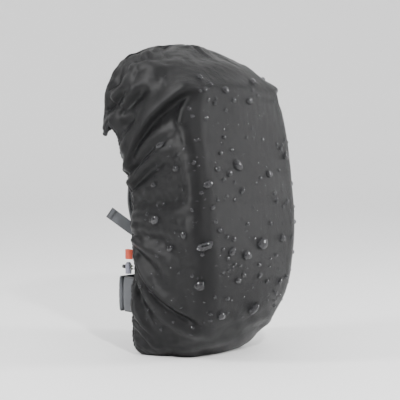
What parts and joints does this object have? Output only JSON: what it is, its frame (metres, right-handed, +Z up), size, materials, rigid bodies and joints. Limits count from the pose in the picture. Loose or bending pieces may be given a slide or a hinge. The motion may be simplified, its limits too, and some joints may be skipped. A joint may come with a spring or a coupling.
{
  "type": "rain-covered pack",
  "caption": "Tall soft pack standing in a dark elasticated rain cover, with padded back, shoulder straps, hip belt, sternum strap, cord lock and haul loop at the rear.",
  "frame": {"origin": "middle of the standing pack's bounding box, on the surface it stands on", "axes": "+Z up; -Y towards the outer face of the pack; +Y towards the harness and the wearer; +X towards the wearer's right"},
  "size_m": [0.308, 0.32, 0.65],
  "materials": {
    "cover_cloth": "coated ripstop nylon, semi-matt",
    "hem_cloth": "gathered elastic casing",
    "elastic": "braided elastic cord",
    "orange_tape": "woven tape",
    "lock_plastic": "moulded plastic",
    "steel": "plain steel",
    "pack_lime": "woven pack cloth",
    "pack_grey": "woven pack cloth",
    "frame_plastic": "sheet plastic",
    "aluminium": "flat bar",
    "mesh_foam": "spacer mesh over foam",
    "belt_foam": "smooth cloth over foam",
    "webbing": "woven webbing",
    "buckle_plastic": "moulded acetal"
  },
  "bodies": {
    "pack": {"cover_front_panel": "cover_cloth", "cover_gusset_left": "cover_cloth", "cover_gusset_right": "cover_cloth", "cover_base_panel": "cover_cloth", "cover_top_panel": "cover_cloth", "cover_hem": "hem_cloth", "hem_elastic": "elastic", "hem_grommets": "steel", "hem_pull_tab": "orange_tape", "cord_lock_body": "lock_plastic", "cord_lock_spring": "steel", "elastic_ends": "elastic", "pack_front_panel": "pack_lime", "pack_gusset_left": "pack_grey", "pack_gusset_right": "pack_grey", "pack_base_panel": "pack_grey", "pack_back_panel": "pack_lime", "pack_lid": "pack_lime", "frame_sheet": "frame_plastic", "frame_stay_left": "aluminium", "frame_stay_right": "aluminium", "back_skin": "mesh_foam", "edge_rim": "pack_lime", "back_pad_left": "mesh_foam", "back_pad_right": "mesh_foam", "lumbar_pad": "belt_foam", "shoulder_strap_left": "mesh_foam", "shoulder_strap_right": "mesh_foam", "load_lifter_left": "webbing", "load_lifter_right": "webbing", "lifter_buckle_left": "buckle_plastic", "lifter_buckle_right": "buckle_plastic", "ladder_lock_left": "buckle_plastic", "ladder_lock_right": "buckle_plastic", "adjuster_webbing_left": "webbing", "adjuster_webbing_right": "webbing", "strap_tail_left": "webbing", "strap_tail_right": "webbing", "sternum_rails": "buckle_plastic", "hip_root_left": "belt_foam", "hip_root_right": "belt_foam", "haul_anchor": "webbing"},
    "hood": {"cover_hood": "cover_cloth", "hood_hem": "hem_cloth"},
    "lock_button": {"cord_lock_button": "lock_plastic"},
    "wing_left": {"hip_wing_left": "belt_foam", "hip_webbing_left": "webbing", "hip_buckle_female": "buckle_plastic"},
    "wing_right": {"hip_wing_right": "belt_foam", "hip_webbing_right": "webbing", "hip_buckle_male": "buckle_plastic"},
    "prong_upper": {"hip_prong_upper": "buckle_plastic"},
    "prong_lower": {"hip_prong_lower": "buckle_plastic"},
    "sternum_strap": {"sternum_clips": "buckle_plastic", "sternum_webbing": "webbing", "sternum_buckle_female": "buckle_plastic"},
    "sternum_clasp": {"sternum_buckle_male": "buckle_plastic"},
    "haul_loop": {"haul_loop": "webbing"}
  },
  "joints": [
    {"name": "hood_lift", "type": "hinge", "parent": "pack", "child": "hood", "pos_m": [0, 0.01, 0.64], "axis": [1, 0, 0], "range_deg": [0, 40]},
    {"name": "cord_lock_press", "type": "slide", "parent": "pack", "child": "lock_button", "axis": [0, 0, -1], "range_m": [0, 0.0025], "stiffness_N_per_m": 300, "springref_m": -0.002, "deforming": ["cord_lock_spring"]},
    {"name": "hip_wing_left_fold", "type": "hinge", "parent": "pack", "child": "wing_left", "pos_m": [-0.127, 0.108, 0.1225], "axis": [0, 0, 1], "range_deg": [0, 100]},
    {"name": "hip_wing_right_fold", "type": "hinge", "parent": "pack", "child": "wing_right", "pos_m": [0.127, 0.108, 0.1225], "axis": [0, 0, -1], "range_deg": [0, 100]},
    {"name": "hip_prong_upper_squeeze", "type": "hinge", "parent": "wing_right", "child": "prong_upper", "pos_m": [0.02, 0.1158, 0.139], "axis": [0, -1, 0], "range_deg": [0, 8], "stiffness_Nm_per_rad": 0.5},
    {"name": "hip_prong_lower_squeeze", "type": "hinge", "parent": "wing_right", "child": "prong_lower", "pos_m": [0.02, 0.1158, 0.106], "axis": [0, 1, 0], "range_deg": [0, 8], "stiffness_Nm_per_rad": 0.5},
    {"name": "sternum_height", "type": "slide", "parent": "pack", "child": "sternum_strap", "axis": [0, 0, 1], "range_m": [-0.033, 0.033]},
    {"name": "sternum_release", "type": "slide", "parent": "sternum_strap", "child": "sternum_clasp", "axis": [1, 0, 0], "range_m": [0, 0.02]},
    {"name": "haul_loop_swing", "type": "hinge", "parent": "pack", "child": "haul_loop", "pos_m": [0, 0.058, 0.508], "axis": [1, 0, 0], "range_deg": [0, 80]}
  ],
  "couplings": [
    {"joint": "hip_prong_lower_squeeze", "follows": "hip_prong_upper_squeeze", "ratio": 1}
  ]
}
